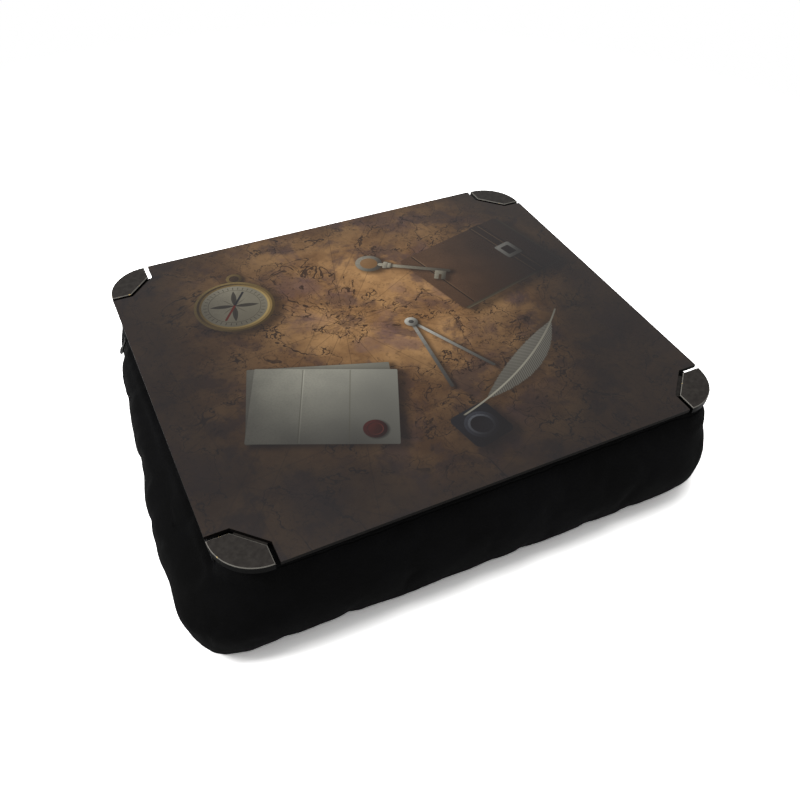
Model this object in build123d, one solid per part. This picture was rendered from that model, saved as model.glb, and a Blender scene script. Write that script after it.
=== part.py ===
from build123d import *
import os
from math import sqrt

os.makedirs("parts", exist_ok=True)

# Lap tray on a bead-filled cushion, all sizes in millimetres.
# The origin is on the floor, under the middle of the whole object.
# +X runs along the tray's long side, -Y faces the user, +Z is up.

# Tray board
tray_length = 430.0
tray_width = 366.0
board_thickness = 3.0
film_thickness = 0.3  # printed film on the top of the board
tray_top_height = 95.0  # from the floor to the printed surface

# Corner pieces, moulded in plastic
corner_size = 37.0  # along each edge of the tray
corner_radius = 36.0
corner_chamfer = 20.5
corner_bevel = 0.6  # bright edge round the top face
corner_clearance = 0.6  # between a corner piece's skirt and the cushion
corner_wall = 1.8
corner_face = 2.2
rib_thickness = 1.4
slot_width = 3.7  # open slot between a corner piece and the board
tongue_width = 26.0
tongue_length = 27.0  # from the corner piece's diagonal edge to the tongue's end
tongue_thickness = 2.4
tongue_end_radius = 6.0

# Lug across each tongue, let into a slot in the board so that the corner piece can't turn
lug_length = 14.0
lug_thickness = 2.0
lug_height = 1.8
lug_setback = 9.5  # from the corner piece's diagonal edge
lug_clearance = 0.05

# Screws that hold the tongues up against the board, one in each
screw_shank_radius = 1.5
screw_head_radius = 2.6
screw_head_height = 1.2
screw_tip_cover = 0.8  # board left over a screw's tip
screw_setback = 18.0  # from the corner piece's diagonal edge
screw_clearance = 0.05

# Hook-and-loop pads between the tray and the cushion
pad_length = 60.0
pad_width = 30.0
hook_thickness = 1.4
loop_thickness = 1.6
pad_setback_x = 85.0  # from the tray's edge to the middle of a pad
pad_setback_y = 75.0

# Clearance between pieces that move apart
running_gap = 0.3

# Cushion, measured from the tray's edges where it stands out past them
overhang_left_back = -6.0
overhang_left_front = 31.0
overhang_front_left = 11.0
overhang_front_right = 21.0
overhang_right_front = -1.0
overhang_right_back = 3.0
overhang_back = 2.0
belly_height = 38.0  # where the cushion is widest
belly_corner_radius = 45.0
left_bow = 9.0  # how far each side bows out between its corners
front_bow = 4.0
other_bow = 2.0
foot_inset = 27.0  # from the widest outline in to the floor
floor_cut = 0.5  # depth that the floor presses flat
seam_inset = 3.5  # top seam, inside the tray's edge
seam_corner_radius = 38.0
crown_rise = 5.4  # from the top seam up to the flat top
crown_inset = 15.0
band_width = 21.0  # upright band below the top seam, which holds the zip
base_seam_height = 11.0
cover_thickness = 1.2
bag_thickness = 0.6

# Shares of the way up and across at each section of the cushion
band_share = 0.4
foot_rise_shares = (0.0, 0.1, 0.4, 1.0)
foot_inset_shares = (1.0, 0.55, 0.14, 0.0)
upper_rise_shares = (0.45, 1.0)
upper_belly_shares = (0.74, 0.0)
crown_rise_shares = (0.0, 0.6, 1.0)
crown_inset_shares = (0.0, 0.26, 1.0)

# Zip along the left side, in the upright band
zip_back_margin = 20.5  # from the seam's back corner to the zip's closed end
zip_front_margin = 0.5
tape_margin = 1.0  # from a tape's edge to the band's edge
tape_thickness = 0.7
chain_width = 1.7
chain_thickness = 1.6
chain_slit = 1.1
stop_length = 2.4

# Zip slider and its pull
slider_length = 9.0
slider_width = 8.0
slider_plate = 1.1
bridge_radius = 0.6
bridge_post = 1.0
pull_eye_clearance = 0.08
pull_eye_wall = 0.67
pull_eye_width = 2.6
pull_back_clearance = 0.55  # from the pull's eye to the slider
pull_neck_width = 2.2
pull_tab_width = 4.2
pull_tab_thickness = 1.1
pull_length = 13.2  # from the bridge to the middle of the ring end
pull_ring_radius = 3.3
pull_ring_hole_radius = 1.2
pull_hang_angle = 28.0  # out from upright, resting on the cushion

# One overrun for every cut
overrun = 5.0

half_length = tray_length / 2
half_width = tray_width / 2
board_top = tray_top_height - film_thickness
board_bottom = board_top - board_thickness
cushion_top = board_bottom - hook_thickness - running_gap - loop_thickness
seam_height = cushion_top - crown_rise
band_height = seam_height - band_width

# Each corner of the tray, with the quarter turn that brings the back right corner's pieces to it
corner_places = {
    "front_left": Location((-half_length, -half_width, 0), (0, 0, 180)),
    "front_right": Location((half_length, -half_width, 0), (0, 0, 270)),
    "back_left": Location((-half_length, half_width, 0), (0, 0, 90)),
    "back_right": Location((half_length, half_width, 0), (0, 0, 0)),
}


def slab(x_low, x_high, y_low, y_high, z_low, z_high):
    """Box between two corners."""
    box = Box(x_high - x_low, y_high - y_low, z_high - z_low)
    middle = ((x_low + x_high) / 2, (y_low + y_high) / 2, (z_low + z_high) / 2)
    return box.moved(Location(middle))


# Tray board and printed film

# The slot keeps the same width along the straight parts and the diagonal part of a corner.
cut_size = corner_size + slot_width
cut_chamfer = corner_chamfer + slot_width * (2 - sqrt(2))


def board_outline():
    """Rectangle whose four corners are cut away, with a slanted inner edge."""
    outline = Rectangle(tray_length, tray_width)
    cut = Polygon(
        (overrun, overrun),
        (-cut_size, overrun),
        (-cut_size, cut_chamfer - cut_size),
        (cut_chamfer - cut_size, -cut_size),
        (overrun, -cut_size),
        align=None,
    )
    for place in corner_places.values():
        outline -= cut.moved(place)
    return outline


tray_board = extrude(board_outline().moved(Location((0, 0, board_bottom))), board_thickness)
printed_film = extrude(board_outline().moved(Location((0, 0, board_top))), film_thickness)


# Corner pieces: a flush pad with a skirt and ribs below, and a tongue under the board

# One piece is made with the tray's back right corner at its origin, then turned to each corner.
pad_underside = cushion_top + corner_clearance
corner_depth = tray_top_height - pad_underside
tongue_top = board_bottom
tongue_bottom = tongue_top - tongue_thickness
screw_length = tongue_thickness + board_thickness - screw_tip_cover
diagonal_middle = corner_chamfer / 2 - corner_size
# Local frame on the tongue: +X points inwards along the diagonal, towards the tray's middle.
diagonal = Location((diagonal_middle, diagonal_middle, 0), (0, 0, 225))
screw_place = diagonal * Location((screw_setback, 0, tongue_bottom))


def pad_outline(inset):
    """Top view of a corner piece, drawn in by an inset."""
    inset_chamfer = corner_chamfer + inset * (sqrt(2) - 2)  # keeps the slanted wall as thick
    low = inset - corner_size
    outline = Polygon(
        (-inset, -inset),
        (low, -inset),
        (low, low + inset_chamfer),
        (low + inset_chamfer, low),
        (-inset, low),
        align=None,
    )
    tip = outline.vertices().sort_by(lambda vertex: vertex.X + vertex.Y)[-1]
    # The inner round gives way so that it still fits between the drawn-in sides.
    return fillet(tip, corner_radius - inset * 2)


def make_corner():
    pad = extrude(pad_outline(0.0).moved(Location((0, 0, pad_underside))), corner_depth)
    pad = chamfer(pad.faces().sort_by(Axis.Z)[-1].edges(), corner_bevel)
    hollow_depth = corner_depth - corner_face
    hollow = extrude(pad_outline(corner_wall).moved(Location((0, 0, pad_underside))), hollow_depth)
    # Three ribs fan out from the tongue's root across the hollow.
    for turn in (-38.0, 0.0, 38.0):
        rib = slab(-corner_size * 2, 0, -rib_thickness / 2, rib_thickness / 2, pad_underside, tray_top_height)
        hollow -= rib.moved(diagonal * Location((0, 0, 0), (0, 0, turn)))
    tongue = slab(-corner_wall, tongue_length, -tongue_width / 2, tongue_width / 2, tongue_bottom, tongue_top)
    ends = tongue.edges().filter_by(Axis.Z).sort_by(Axis.X)[-2:]
    tongue = fillet(ends, tongue_end_radius) + lug_form(0.0)
    screw_hole = screw_form(screw_clearance).moved(screw_place)
    return pad - hollow + tongue.moved(diagonal) - screw_hole


def lug_form(clearance):
    """Lug on a tongue, in the diagonal's frame, or its slot in the board when given a clearance."""
    half_thickness = lug_thickness / 2 + clearance
    half_span = lug_length / 2 + clearance
    top = tongue_top + lug_height + clearance
    return slab(lug_setback - half_thickness, lug_setback + half_thickness, -half_span, half_span, tongue_top, top)


def screw_form(clearance):
    """Flat-headed screw that points up, with its head let into the tongue's underside."""
    base = (Align.CENTER, Align.CENTER, Align.MIN)
    head = Cylinder(screw_head_radius + clearance, screw_head_height, align=base)
    shank = Cylinder(screw_shank_radius + clearance, screw_length + clearance, align=base)
    return head + shank


corner_master = make_corner()
corners = {}
screws = []
for name, corner_place in corner_places.items():
    corners[name] = corner_master.moved(corner_place)
    screws.append(screw_form(0.0).moved(corner_place * screw_place))
    tray_board -= screw_form(screw_clearance).moved(corner_place * screw_place)
    tray_board -= lug_form(lug_clearance).moved(corner_place * diagonal)


# Hook-and-loop pads, in four pairs

hook_pads = {}
loop_pads = {}
for name, corner_place in corner_places.items():
    toward_x = -1 if name.endswith("right") else 1
    toward_y = -1 if name.startswith("back") else 1
    x = corner_place.position.X + toward_x * pad_setback_x
    y = corner_place.position.Y + toward_y * pad_setback_y
    hook = Box(pad_length, pad_width, hook_thickness)
    loop = Box(pad_length, pad_width, loop_thickness)
    hook_pads[name] = hook.moved(Location((x, y, board_bottom - hook_thickness / 2)))
    loop_pads[name] = loop.moved(Location((x, y, cushion_top + loop_thickness / 2)))


# Cushion outlines, each as four corners, four bows and a corner radius

def make_outline(left_back, left_front, front_left, front_right, right_front, right_back, back, bows, radius):
    """Outline whose corners stand out past the tray's edges by the given distances."""
    corners_xy = (
        -half_length - left_back,
        half_width + back,
        -half_length - left_front,
        -half_width - front_left,
        half_length + right_front,
        -half_width - front_right,
        half_length + right_back,
        half_width + back,
    )
    return corners_xy + bows + (radius,)


belly = make_outline(
    overhang_left_back,
    overhang_left_front,
    overhang_front_left,
    overhang_front_right,
    overhang_right_front,
    overhang_right_back,
    overhang_back,
    (left_bow, front_bow, other_bow, other_bow),
    belly_corner_radius,
)
seam = make_outline(
    -seam_inset,
    -seam_inset,
    -seam_inset,
    -seam_inset,
    -seam_inset,
    -seam_inset,
    -seam_inset,
    (0.0, other_bow, other_bow, other_bow),
    seam_corner_radius,
)


def blend(first, second, share):
    """Outline part of the way from the first to the second."""
    return tuple(a + (b - a) * share for a, b in zip(first, second))


# The band's lower edge stays in line with the seam on the left, so that the zip runs straight.
band_blend = blend(seam, belly, band_share)
band = (seam[0], band_blend[1], seam[2]) + band_blend[3:8] + (0.0,) + band_blend[9:]


def section(outline, height, inset):
    """Flat face of an outline at a height, drawn in by an inset."""
    points = [
        (outline[0] + inset, outline[1] - inset),
        (outline[2] + inset, outline[3] + inset),
        (outline[4] - inset, outline[5] + inset),
        (outline[6] - inset, outline[7] - inset),
    ]
    bows = outline[8:12]
    edges = []
    for i in range(4):
        start = Vector(*points[i])
        end = Vector(*points[(i + 1) % 4])
        if bows[i] == 0:
            edges.append(Line(start, end))
        else:
            outward = (end - start).normalized().rotate(Axis.Z, -90)
            edges.append(ThreePointArc(start, (start + end) / 2 + outward * bows[i], end))
    face = make_face(Curve() + edges)
    face = fillet(face.vertices(), outline[12] - inset)
    return face.moved(Location((0, 0, height)))


def cushion_form(inset):
    """Whole cushion drawn in by an inset on every side, flat where it meets the floor."""
    foot_sections = []
    for rise, drawn in zip(foot_rise_shares, foot_inset_shares):
        height = -floor_cut + (belly_height + floor_cut) * rise
        foot_sections.append(section(belly, height, foot_inset * drawn + inset))
    for rise, out in zip(upper_rise_shares, upper_belly_shares):
        height = belly_height + (band_height - belly_height) * rise
        foot_sections.append(section(blend(band, belly, out), height, inset))
    lower = loft(foot_sections, ruled=True)
    upright = loft([section(band, band_height, inset), section(seam, seam_height, inset)], ruled=True)
    crown_sections = []
    for rise, drawn in zip(crown_rise_shares, crown_inset_shares):
        height = seam_height + (cushion_top - seam_height) * rise
        crown_sections.append(section(seam, height, crown_inset * drawn + inset))
    crown = loft(crown_sections, ruled=True)
    form = lower + upright + crown
    reach = tray_length
    return form & slab(-reach, reach, -reach, reach, inset, cushion_top - inset)


def layer(form, z_low, z_high):
    reach = tray_length
    return form & slab(-reach, reach, -reach, reach, z_low, z_high)


# Zip in the band's left side: window, tapes, chain and stops

band_face = seam[0]  # outer face of the band on the left
tape_front = band_face + cover_thickness
tape_back = tape_front + tape_thickness
chain_front = tape_back - chain_thickness
zip_height = (seam_height + band_height) / 2
zip_back_end = half_width - seam_inset - seam_corner_radius - zip_back_margin
zip_front_end = -half_width + seam_inset + seam_corner_radius + zip_front_margin
zip_window = slider_width + running_gap * 2
slider_web = chain_slit - running_gap * 2
tape_width = (band_width - chain_slit) / 2 - tape_margin
slider_front = chain_front - running_gap - slider_plate
slider_back = tape_back + running_gap + slider_plate
slider_y = zip_back_end - stop_length - running_gap - slider_length / 2

window = slab(
    band_face - overrun,
    tape_front,
    zip_front_end,
    zip_back_end,
    zip_height - zip_window / 2,
    zip_height + zip_window / 2,
)
tape_half = chain_slit / 2 + tape_width
tape_pocket = slab(tape_front, tape_back, zip_front_end, zip_back_end, zip_height - tape_half, zip_height + tape_half)
slider_channel = slab(
    tape_back,
    slider_back + running_gap,
    zip_front_end,
    zip_back_end,
    zip_height - slider_width / 2 - running_gap,
    zip_height + slider_width / 2 + running_gap,
)

outer_form = cushion_form(0.0)
bag_form = cushion_form(cover_thickness)
bead_form = cushion_form(cover_thickness + bag_thickness)

cover_shell = outer_form - bag_form
cover_top = layer(cover_shell, seam_height, cushion_top)
cover_band = layer(cover_shell, base_seam_height, seam_height) - window
cover_base = layer(cover_shell, 0.0, base_seam_height)
inner_bag = bag_form - bead_form - tape_pocket - slider_channel
bead_filling = bead_form - tape_pocket - slider_channel

tapes = {}
chains = {}
for name, side in (("upper", 1), ("lower", -1)):
    tape_edges = sorted((side * chain_slit / 2, side * (chain_slit / 2 + tape_width)))
    chain_edges = sorted((side * chain_slit / 2, side * (chain_slit / 2 + chain_width)))
    chain = slab(
        chain_front,
        tape_back,
        zip_front_end + stop_length,
        zip_back_end - stop_length,
        zip_height + chain_edges[0],
        zip_height + chain_edges[1],
    )
    tape = slab(
        tape_front,
        tape_back,
        zip_front_end,
        zip_back_end,
        zip_height + tape_edges[0],
        zip_height + tape_edges[1],
    )
    chains[name] = chain
    tapes[name] = tape - chain

stop_half = chain_slit / 2 + chain_width
stops = []
for y_low in (zip_front_end, zip_back_end - stop_length):
    stops.append(slab(chain_front, tape_front, y_low, y_low + stop_length, zip_height - stop_half, zip_height + stop_half))


# Zip slider: two plates joined by a web through the slit, and a bridge for the pull

bridge_span = pull_eye_width + running_gap * 2
pull_eye_radius = bridge_radius + pull_eye_clearance + pull_eye_wall
bridge_x = slider_front - pull_back_clearance - pull_eye_radius


def make_slider():
    front_plate = slab(
        slider_front,
        slider_front + slider_plate,
        slider_y - slider_length / 2,
        slider_y + slider_length / 2,
        zip_height - slider_width / 2,
        zip_height + slider_width / 2,
    )
    back_plate = front_plate.moved(Location((slider_back - slider_plate - slider_front, 0, 0)))
    corner_round = slider_width / 4
    front_plate = fillet(front_plate.edges().filter_by(Axis.X), corner_round)
    back_plate = fillet(back_plate.edges().filter_by(Axis.X), corner_round)
    web = slab(
        slider_front + slider_plate / 2,
        slider_back - slider_plate / 2,
        slider_y - slider_length / 4,
        slider_y + slider_length / 4,
        zip_height - slider_web / 2,
        zip_height + slider_web / 2,
    )
    bar_half = bridge_span / 2 + bridge_post
    bar = Cylinder(bridge_radius, bar_half * 2, rotation=(90, 0, 0))
    body = front_plate + back_plate + web + bar.moved(Location((bridge_x, slider_y, zip_height)))
    for side in (-1, 1):
        post_middle = slider_y + side * (bridge_span + bridge_post) / 2
        body += slab(
            bridge_x,
            slider_front + slider_plate / 2,
            post_middle - bridge_post / 2,
            post_middle + bridge_post / 2,
            zip_height - bridge_radius,
            zip_height + bridge_radius,
        )
    return body


zip_slider = make_slider()


# Zip pull: an eye round the bridge, a tab that widens, and a ringed end

def make_pull():
    """Pull that hangs straight down from the origin, then turned out to where it rests."""
    eye = Cylinder(pull_eye_radius, pull_eye_width, rotation=(90, 0, 0))
    tab_outline = Polygon(
        (-pull_neck_width / 2, 0),
        (pull_neck_width / 2, 0),
        (pull_tab_width / 2, -pull_length),
        (-pull_tab_width / 2, -pull_length),
        align=None,
    )
    ring = Circle(pull_ring_radius).moved(Location((0, -pull_length, 0)))
    blade = extrude(Plane.YZ * (tab_outline + ring), pull_tab_thickness / 2, both=True)
    hole = Cylinder(pull_ring_hole_radius, pull_tab_thickness + overrun, rotation=(0, 90, 0))
    bore = Cylinder(bridge_radius + pull_eye_clearance, pull_eye_width + overrun, rotation=(90, 0, 0))
    pull = eye + blade - hole.moved(Location((0, 0, -pull_length))) - bore
    return pull.rotate(Axis.Y, pull_hang_angle).moved(Location((bridge_x, slider_y, zip_height)))


zip_pull = make_pull()

# Every piece moves together so that the origin lies under the middle of the whole object.
extent = outer_form.bounding_box().center()
to_origin = Location((-extent.X, -extent.Y, 0))

pieces = {
    "tray_board": tray_board,
    "printed_film": printed_film,
    "corner_screws": Compound(children=screws),
    "cover_top": cover_top,
    "cover_band": cover_band,
    "cover_base": cover_base,
    "inner_bag": inner_bag,
    "bead_filling": bead_filling,
    "zip_stops": Compound(children=stops),
    "zip_slider": zip_slider,
    "zip_pull": zip_pull,
}
for name in corner_places:
    pieces["corner_piece_" + name] = corners[name]
    pieces["hook_pad_" + name] = hook_pads[name]
    pieces["loop_pad_" + name] = loop_pads[name]
for name in ("upper", "lower"):
    pieces["zip_tape_" + name] = tapes[name]
    pieces["zip_chain_" + name] = chains[name]

for name, piece in pieces.items():
    export_step(piece.moved(to_origin), "parts/" + name + ".step")

print("tray centre", -extent.X, -extent.Y)
print("pull axis", bridge_x - extent.X, slider_y - extent.Y, zip_height)
print("slider travel", slider_y - slider_length / 2 - zip_front_end - stop_length - running_gap)
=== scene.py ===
"""Lap tray with a printed top and moulded corner pieces, on a black bead-filled cushion with a side zip."""

import math

import bmesh
import bpy
from mathutils import Matrix, Vector, noise
from mathutils.bvhtree import BVHTree


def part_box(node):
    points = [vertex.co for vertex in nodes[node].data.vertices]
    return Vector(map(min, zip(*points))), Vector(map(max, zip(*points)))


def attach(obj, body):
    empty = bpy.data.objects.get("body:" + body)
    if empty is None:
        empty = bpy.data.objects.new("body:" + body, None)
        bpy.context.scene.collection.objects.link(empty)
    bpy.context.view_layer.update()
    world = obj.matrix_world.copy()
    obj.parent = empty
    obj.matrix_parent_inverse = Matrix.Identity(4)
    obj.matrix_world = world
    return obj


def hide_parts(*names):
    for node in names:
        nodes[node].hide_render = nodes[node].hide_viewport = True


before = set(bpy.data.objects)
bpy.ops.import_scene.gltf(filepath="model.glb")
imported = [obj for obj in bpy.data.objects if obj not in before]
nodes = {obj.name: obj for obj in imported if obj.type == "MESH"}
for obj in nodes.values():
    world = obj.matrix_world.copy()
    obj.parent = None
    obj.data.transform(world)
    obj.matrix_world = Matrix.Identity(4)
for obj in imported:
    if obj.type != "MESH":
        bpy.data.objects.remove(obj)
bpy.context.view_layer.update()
scene = bpy.context.scene


# Camera: where the photograph was taken from, found from the four edges of the tray's top.
# It looks down at the near left corner, with a slight roll.

MM = 0.001
tray_low, tray_high = (Vector(corner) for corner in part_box("printed_film"))
tray_middle = (tray_low + tray_high) / 2
eye = tray_middle + Vector((-251.9, -489.7, 457.9)) * MM
turn_about_z = Matrix.Rotation(math.radians(-27.78), 4, "Z")
tilt_down = Matrix.Rotation(math.radians(90 - 44.5), 4, "X")
roll = Matrix.Rotation(math.radians(2.54), 4, "Z")
camera_data = bpy.data.cameras.new("camera")
camera_data.sensor_width = 36
camera_data.lens = 36.58
camera_data.clip_start = 0.01
camera = bpy.data.objects.new("camera", camera_data)
scene.collection.objects.link(camera)
camera.matrix_world = Matrix.Translation(eye) @ turn_about_z @ tilt_down @ roll
scene.camera = camera
scene.view_settings.view_transform = "Standard"


# Studio: a plain white floor that keeps a soft shadow, a pale world, and two soft lamps.
# One lamp hangs above the tray, and one stands at the left, where it makes the cushion's side lighter.


def linear(hex_code):
    """The linear colour of an sRGB hex value."""
    channels = [int(hex_code[i : i + 2], 16) / 255 for i in (1, 3, 5)]
    return tuple(c / 12.92 if c <= 0.04045 else ((c + 0.055) / 1.055) ** 2.4 for c in channels) + (1.0,)


def add_node(tree, kind, inputs=None, **settings):
    """Adds one node. inputs gives each socket a value, or another node's output to link."""
    node = tree.nodes.new(kind)
    for name, value in settings.items():
        setattr(node, name, value)
    for socket, value in (inputs or {}).items():
        if isinstance(value, bpy.types.NodeSocket):
            tree.links.new(value, node.inputs[socket])
        else:
            node.inputs[socket].default_value = value
    return node


def new_material(name):
    """An empty node material and its tree."""
    material = bpy.data.materials.new(name)
    material.use_nodes = True
    material.node_tree.nodes.clear()
    return material, material.node_tree


def give_material(piece, material):
    """Leaves a piece with one material."""
    piece.data.materials.clear()
    piece.data.materials.append(material)


def seen_directly(tree):
    """1 for rays from the camera, a mirror or glass, and 0 for the light that falls on the object."""
    path = add_node(tree, "ShaderNodeLightPath").outputs
    glossy = add_node(
        tree, "ShaderNodeMath", {0: path["Is Camera Ray"], 1: path["Is Glossy Ray"]}, operation="MAXIMUM"
    )
    both = {0: glossy.outputs[0], 1: path["Is Transmission Ray"]}
    return add_node(tree, "ShaderNodeMath", both, operation="MAXIMUM").outputs[0]


floor_material, tree = new_material("white_studio_floor")
# The camera sees the floor brighter than it is, so that it is white but for the shadow close to the cushion,
# and a metre away the floor is plain white.
camera_ray = add_node(tree, "ShaderNodeLightPath").outputs["Is Camera Ray"]
real_paint = (0.85, 0.85, 0.84, 1)
seen_paint = (2.6, 2.59, 2.57, 1)
floor_white = add_node(tree, "ShaderNodeMix", {0: camera_ray, 6: real_paint, 7: seen_paint}, data_type="RGBA")
paint = add_node(tree, "ShaderNodeBsdfDiffuse", {"Color": floor_white.outputs[2]})
floor_place = add_node(tree, "ShaderNodeTexCoord").outputs["Object"]
away = add_node(tree, "ShaderNodeVectorMath", {0: floor_place}, operation="LENGTH").outputs["Value"]
far_share = add_node(
    tree,
    "ShaderNodeMapRange",
    {"Value": away, "From Min": 0.55, "From Max": 1.0, "To Max": seen_directly(tree)},
    interpolation_type="SMOOTHSTEP",
)
plain_white = add_node(tree, "ShaderNodeEmission", {"Color": (1, 1, 1, 1), "Strength": 1.0})
floor_mix = add_node(
    tree, "ShaderNodeMixShader", {0: far_share.outputs[0], 1: paint.outputs[0], 2: plain_white.outputs[0]}
)
add_node(tree, "ShaderNodeOutputMaterial", {"Surface": floor_mix.outputs[0]})

floor_mesh = bpy.data.meshes.new("studio_floor")
shape = bmesh.new()
bmesh.ops.create_grid(shape, x_segments=1, y_segments=1, size=8)
shape.to_mesh(floor_mesh)
shape.free()
floor_mesh.materials.append(floor_material)
floor = bpy.data.objects.new("studio_floor", floor_mesh)
scene.collection.objects.link(floor)

world = bpy.data.worlds.new("pale_world")
scene.world = world
world.use_nodes = True
tree = world.node_tree
tree.nodes.clear()
world_strength = add_node(
    tree, "ShaderNodeMapRange", {"Value": seen_directly(tree), "To Min": 0.40, "To Max": 1.0}
)
sky = add_node(tree, "ShaderNodeBackground", {"Color": (1, 1, 1, 1), "Strength": world_strength.outputs[0]})
add_node(tree, "ShaderNodeOutputWorld", {"Surface": sky.outputs[0]})

# Each lamp: name, place, width and power, all aimed at the tray.
for name, place, width, power in (
    ("left_softbox", (-1.25, 0.35, 1.15), 0.9, 14),
    ("top_softbox", (0.05, 0.15, 1.8), 1.3, 17),
):
    lamp_data = bpy.data.lights.new(name, "AREA")
    lamp_data.shape = "SQUARE"
    lamp_data.size = width
    lamp_data.energy = power
    lamp = bpy.data.objects.new(name, lamp_data)
    scene.collection.objects.link(lamp)
    aim = (tray_middle - Vector(place)).to_track_quat("-Z", "Y")
    lamp.matrix_world = Matrix.Translation(place) @ aim.to_matrix().to_4x4()


# Cushion: a bag of black woven polyester, filled with loose polystyrene beads.
# The tray presses its top flat and the floor its base, and its sides bulge and crease between them.

seam_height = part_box("cover_band")[1][2]
base_seam_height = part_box("cover_base")[1][2]
cushion_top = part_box("cover_top")[1][2]
zip_low, zip_high = (Vector(corner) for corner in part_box("zip_stops"))
zip_height = (zip_low.z + zip_high.z) / 2
band_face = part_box("zip_tape_upper")[0][0] - 1.2 * MM
cover_and_bag = 1.8 * MM
voxel = 5 * MM
groove_rim = 0.9 * MM
groove_depth = 4.2 * MM
groove_half = 5.0 * MM
groove_end = 9.5 * MM
left_side_limit = -0.19
pull_clearance_mm = 1.0
pull_lean = 0.52  # how far out the hanging pull leans for each millimetre down
pull_reach_mm = 15.5
wave_width = 0.042
ripple_width = 0.016
billow_width = 0.085
pucker_width = 0.0085


def finished_mesh(piece):
    """The mesh of a piece with its modifiers applied."""
    depsgraph = bpy.context.evaluated_depsgraph_get()
    return bpy.data.meshes.new_from_object(piece.evaluated_get(depsgraph))


def fade(distance, full, none):
    """1 up to the distance full, 0 from the distance none, smooth between."""
    share = min(max((none - distance) / (none - full), 0.0), 1.0)
    return share * share * (3 - 2 * share)


def zip_closeness(point):
    """How far a point of the left side lies in the zip's groove, from 0 to 1."""
    if point.x > band_face + 12 * MM:
        return 0.0
    past_end = max(zip_low.y - point.y, point.y - zip_high.y, 0.0)
    return fade(abs(point.z - zip_height), groove_half, groove_end) * fade(past_end, 1.5 * MM, 5 * MM)


def clear_of_pull(point):
    """Moves a point in from the lane below the zip where the pull hangs and travels."""
    past_end = max(zip_low.y - point.y, point.y - zip_high.y, 0.0)
    below_axis = (zip_height - point.z) / MM
    if below_axis < 0 or point.x > left_side_limit or past_end > 10 * MM:
        return
    below_pull = max(below_axis - pull_reach_mm, 0.0)
    limit = band_face - (pull_clearance_mm + pull_lean * below_axis + 2.2 * below_pull) * MM
    point.x += max(limit - point.x, 0.0) * fade(past_end, 4 * MM, 10 * MM)


def fold_height(point, normal):
    """Height of the soft folds before the cloth settles: long slanting waves, strongest on the left."""
    side = max(1 - abs(normal.z) * 1.3, 0.0)
    left = max(-normal.x, 0.0)
    slant = point.y + 0.6 * point.z if abs(normal.x) > abs(normal.y) else point.x * 0.8 + 0.4 * point.z
    wave = noise.noise(Vector((slant / wave_width, point.z / 0.110, 2.0 + normal.x)))
    ripple = noise.noise(Vector((slant / ripple_width, point.z / 0.050, 7.5 + normal.y)))
    billow = noise.noise(point / billow_width + Vector((3.1, 0.7, 4.4)))
    return side * ((wave * 3.2 + ripple * 0.9) * (0.10 + 0.9 * left) + billow * (0.8 + 0.7 * left)) * MM


def distance_along(point, route):
    """Distance from a point to a route of straight runs."""
    nearest = 1.0
    for start, end in zip(route, route[1:]):
        run = end - start
        share = min(max((point - start).dot(run) / run.length_squared, 0.0), 1.0)
        nearest = min(nearest, (point - start - run * share).length)
    return nearest


def seam_draw(point, normal):
    """Height beside the two sewn seams, which draw the cloth in and pucker it a little."""
    along = point.y if abs(normal.x) > abs(normal.y) else point.x
    pucker = noise.noise(Vector((along / pucker_width, point.z / 0.060, 4.0)))
    height = 0.0
    for seam in (base_seam_height, seam_height):
        off_seam = (point.z - seam) / MM
        height += 0.9 * pucker * math.exp(-((off_seam / 9) ** 2)) - 1.3 * math.exp(-((off_seam / 3) ** 2))
    return height * (1 - normal.z * normal.z)


def lay_weave(mesh):
    """Gives a mesh a UV map in metres, laid on each face from the side that it looks to, for the weave."""
    weave_map = mesh.uv_layers.new(name="weave")
    for face in mesh.polygons:
        facing = [abs(value) for value in face.normal]
        axis = facing.index(max(facing))
        across, up = ((1, 2), (0, 2), (0, 1))[axis]
        for loop in face.loop_indices:
            point = mesh.vertices[mesh.loops[loop].vertex_index].co
            weave_map.data[loop].uv = (point[across], point[up])


def set_stops(ramp, *stops):
    """Gives a colour ramp its two stops, each a colour and a place."""
    for stop, (hex_code, position) in zip(ramp.color_ramp.elements, stops):
        stop.color = linear(hex_code)
        stop.position = position


cushion = bpy.data.objects.new("cushion", nodes["bead_filling"].data.copy())
scene.collection.objects.link(cushion)
remesh = cushion.modifiers.new("even_cloth", "REMESH")
remesh.mode = "VOXEL"
remesh.voxel_size = voxel
cushion.data = finished_mesh(cushion)
cushion.modifiers.clear()

# The bag is slack: its side walls start with shallow folds, which the cloth then rounds out.
skin = bmesh.new()
skin.from_mesh(cushion.data)
for vertex in skin.verts:
    vertex.co += vertex.normal * cover_and_bag
skin.normal_update()
folds = [fold_height(vertex.co, vertex.normal) for vertex in skin.verts]
for vertex, fold in zip(skin.verts, folds):
    free = fade(vertex.co.z, seam_height - 14 * MM, seam_height - 3 * MM)
    free *= 1 - fade(vertex.co.z, 2 * MM, 10 * MM)
    free *= 1 - zip_closeness(vertex.co)
    vertex.co += vertex.normal * fold * free
skin.to_mesh(cushion.data)
skin.free()

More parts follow.
